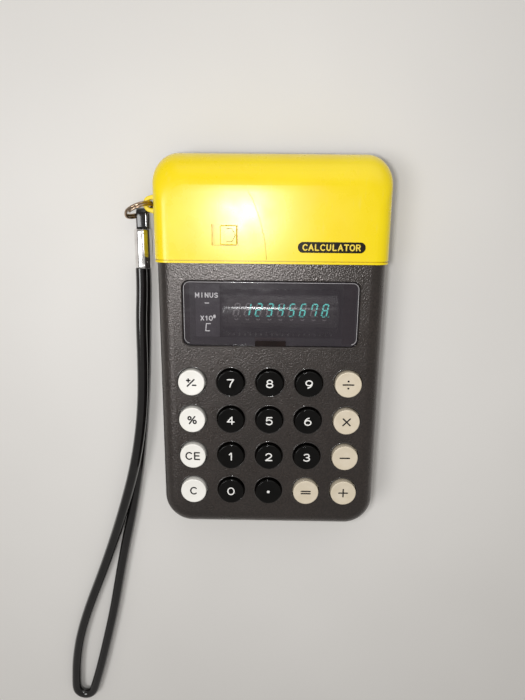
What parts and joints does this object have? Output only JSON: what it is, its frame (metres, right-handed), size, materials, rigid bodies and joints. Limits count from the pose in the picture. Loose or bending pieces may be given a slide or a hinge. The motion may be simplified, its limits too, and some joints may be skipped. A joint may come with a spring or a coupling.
{
  "type": "pocket calculator",
  "caption": "Pocket calculator with a black grained case, yellow top cover, round keys, smoked display window with a glowing tube display, and a looped wrist strap on a split ring.",
  "frame": {"origin": "middle of the flat back face, on that face", "axes": "+Z out of the keyboard panel, +Y towards the yellow top cover, +X to the user's right"},
  "size_m": [0.1383, 0.2546, 0.0236],
  "materials": {
    "black_case": "fine spark-eroded grain",
    "yellow_cover": "glossy moulded",
    "label_foil": "brushed foil, blank",
    "screw_steel": "zinc plated",
    "badge_black": "glossy",
    "smoked_window": "smoked clear plastic",
    "mask_black": "matt black",
    "tube_glass": "clear glass",
    "anode_ceramic": "dark fired glaze",
    "fine_metal": "etched",
    "tinned_metal": "tinned",
    "mat_rubber": "moulded silicone",
    "board_laminate": "laminate with lacquer",
    "chip_body": "moulded epoxy",
    "ferrite": "sintered",
    "copper_winding": "enamelled wire",
    "capacitor_sleeve": "shrink sleeve",
    "resistor_body": "lacquered",
    "grey_cradle": "moulded",
    "cell_jacket": "plain jacket",
    "contact_metal": "plated spring metal",
    "wire_insulation": "vinyl",
    "ring_nickel": "worn nickel over brass",
    "ferrule_chrome": "bright",
    "strap_vinyl": "glossy soft vinyl",
    "white_key": "moulded",
    "cream_key": "moulded, slightly aged",
    "black_key": "glossy"
  },
  "bodies": {
    "case": {"front_case": "black_case", "rear_case": "black_case", "top_cover": "yellow_cover", "rear_label": "label_foil", "case_screws": "screw_steel", "badge_plate": "badge_black", "display_window": "smoked_window", "display_mask": "mask_black", "legend_strip": "mask_black", "tube_cover_glass": "tube_glass", "tube_base_glass": "tube_glass", "anode_plate": "anode_ceramic", "digit_grids": "fine_metal", "filaments": "fine_metal", "tube_leads": "tinned_metal", "contact_mat": "mat_rubber", "main_board": "board_laminate", "board_screws": "screw_steel", "calculator_chip": "chip_body", "chip_pins": "tinned_metal", "transformer_core": "ferrite", "transformer_winding": "copper_winding", "electrolytic_capacitors": "capacitor_sleeve", "resistors": "resistor_body", "transistors": "chip_body", "battery_cradle": "grey_cradle", "cell_1": "cell_jacket", "cell_2": "cell_jacket", "positive_contact": "contact_metal", "negative_contact": "contact_metal", "link_contact": "contact_metal", "supply_wires": "wire_insulation", "switch_board": "board_laminate"},
    "key_sign": {"key_sign": "white_key"},
    "key_7": {"key_7": "black_key"},
    "key_8": {"key_8": "black_key"},
    "key_9": {"key_9": "black_key"},
    "key_divide": {"key_divide": "cream_key"},
    "key_percent": {"key_percent": "white_key"},
    "key_4": {"key_4": "black_key"},
    "key_5": {"key_5": "black_key"},
    "key_6": {"key_6": "black_key"},
    "key_multiply": {"key_multiply": "cream_key"},
    "key_clear_entry": {"key_clear_entry": "white_key"},
    "key_1": {"key_1": "black_key"},
    "key_2": {"key_2": "black_key"},
    "key_3": {"key_3": "black_key"},
    "key_minus": {"key_minus": "cream_key"},
    "key_clear": {"key_clear": "white_key"},
    "key_0": {"key_0": "black_key"},
    "key_point": {"key_point": "black_key"},
    "key_equals": {"key_equals": "cream_key"},
    "key_plus": {"key_plus": "cream_key"},
    "power_slider": {"switch_knob": "yellow_cover", "switch_wiper": "contact_metal"},
    "battery_door": {"battery_door": "black_case"},
    "wrist_strap": {"split_ring": "ring_nickel", "strap_tab": "strap_vinyl", "strap_ferrule": "ferrule_chrome", "strap_cord": "strap_vinyl"}
  },
  "joints": [
    {"name": "key_sign_press", "type": "slide", "parent": "case", "child": "key_sign", "axis": [0, 0, -1], "range_m": [0, 0.0012], "stiffness_N_per_m": 400, "springref_m": -0.0012},
    {"name": "key_7_press", "type": "slide", "parent": "case", "child": "key_7", "axis": [0, 0, -1], "range_m": [0, 0.0012], "stiffness_N_per_m": 400, "springref_m": -0.0012},
    {"name": "key_8_press", "type": "slide", "parent": "case", "child": "key_8", "axis": [0, 0, -1], "range_m": [0, 0.0012], "stiffness_N_per_m": 400, "springref_m": -0.0012},
    {"name": "key_9_press", "type": "slide", "parent": "case", "child": "key_9", "axis": [0, 0, -1], "range_m": [0, 0.0012], "stiffness_N_per_m": 400, "springref_m": -0.0012},
    {"name": "key_divide_press", "type": "slide", "parent": "case", "child": "key_divide", "axis": [0, 0, -1], "range_m": [0, 0.0012], "stiffness_N_per_m": 400, "springref_m": -0.0012},
    {"name": "key_percent_press", "type": "slide", "parent": "case", "child": "key_percent", "axis": [0, 0, -1], "range_m": [0, 0.0012], "stiffness_N_per_m": 400, "springref_m": -0.0012},
    {"name": "key_4_press", "type": "slide", "parent": "case", "child": "key_4", "axis": [0, 0, -1], "range_m": [0, 0.0012], "stiffness_N_per_m": 400, "springref_m": -0.0012},
    {"name": "key_5_press", "type": "slide", "parent": "case", "child": "key_5", "axis": [0, 0, -1], "range_m": [0, 0.0012], "stiffness_N_per_m": 400, "springref_m": -0.0012},
    {"name": "key_6_press", "type": "slide", "parent": "case", "child": "key_6", "axis": [0, 0, -1], "range_m": [0, 0.0012], "stiffness_N_per_m": 400, "springref_m": -0.0012},
    {"name": "key_multiply_press", "type": "slide", "parent": "case", "child": "key_multiply", "axis": [0, 0, -1], "range_m": [0, 0.0012], "stiffness_N_per_m": 400, "springref_m": -0.0012},
    {"name": "key_clear_entry_press", "type": "slide", "parent": "case", "child": "key_clear_entry", "axis": [0, 0, -1], "range_m": [0, 0.0012], "stiffness_N_per_m": 400, "springref_m": -0.0012},
    {"name": "key_1_press", "type": "slide", "parent": "case", "child": "key_1", "axis": [0, 0, -1], "range_m": [0, 0.0012], "stiffness_N_per_m": 400, "springref_m": -0.0012},
    {"name": "key_2_press", "type": "slide", "parent": "case", "child": "key_2", "axis": [0, 0, -1], "range_m": [0, 0.0012], "stiffness_N_per_m": 400, "springref_m": -0.0012},
    {"name": "key_3_press", "type": "slide", "parent": "case", "child": "key_3", "axis": [0, 0, -1], "range_m": [0, 0.0012], "stiffness_N_per_m": 400, "springref_m": -0.0012},
    {"name": "key_minus_press", "type": "slide", "parent": "case", "child": "key_minus", "axis": [0, 0, -1], "range_m": [0, 0.0012], "stiffness_N_per_m": 400, "springref_m": -0.0012},
    {"name": "key_clear_press", "type": "slide", "parent": "case", "child": "key_clear", "axis": [0, 0, -1], "range_m": [0, 0.0012], "stiffness_N_per_m": 400, "springref_m": -0.0012},
    {"name": "key_0_press", "type": "slide", "parent": "case", "child": "key_0", "axis": [0, 0, -1], "range_m": [0, 0.0012], "stiffness_N_per_m": 400, "springref_m": -0.0012},
    {"name": "key_point_press", "type": "slide", "parent": "case", "child": "key_point", "axis": [0, 0, -1], "range_m": [0, 0.0012], "stiffness_N_per_m": 400, "springref_m": -0.0012},
    {"name": "key_equals_press", "type": "slide", "parent": "case", "child": "key_equals", "axis": [0, 0, -1], "range_m": [0, 0.0012], "stiffness_N_per_m": 400, "springref_m": -0.0012},
    {"name": "key_plus_press", "type": "slide", "parent": "case", "child": "key_plus", "axis": [0, 0, -1], "range_m": [0, 0.0012], "stiffness_N_per_m": 400, "springref_m": -0.0012},
    {"name": "power_slide", "type": "slide", "parent": "case", "child": "power_slider", "axis": [-1, 0, 0], "range_m": [0, 0.003]},
    {"name": "door_slide", "type": "slide", "parent": "case", "child": "battery_door", "axis": [0, 1, 0], "range_m": [0, 0.038]},
    {"name": "strap_swing", "type": "hinge", "parent": "case", "child": "wrist_strap", "pos_m": [-0.0452, 0.05485, 0.01], "axis": [0, 0, 1], "range_deg": [-60, 0]}
  ]
}
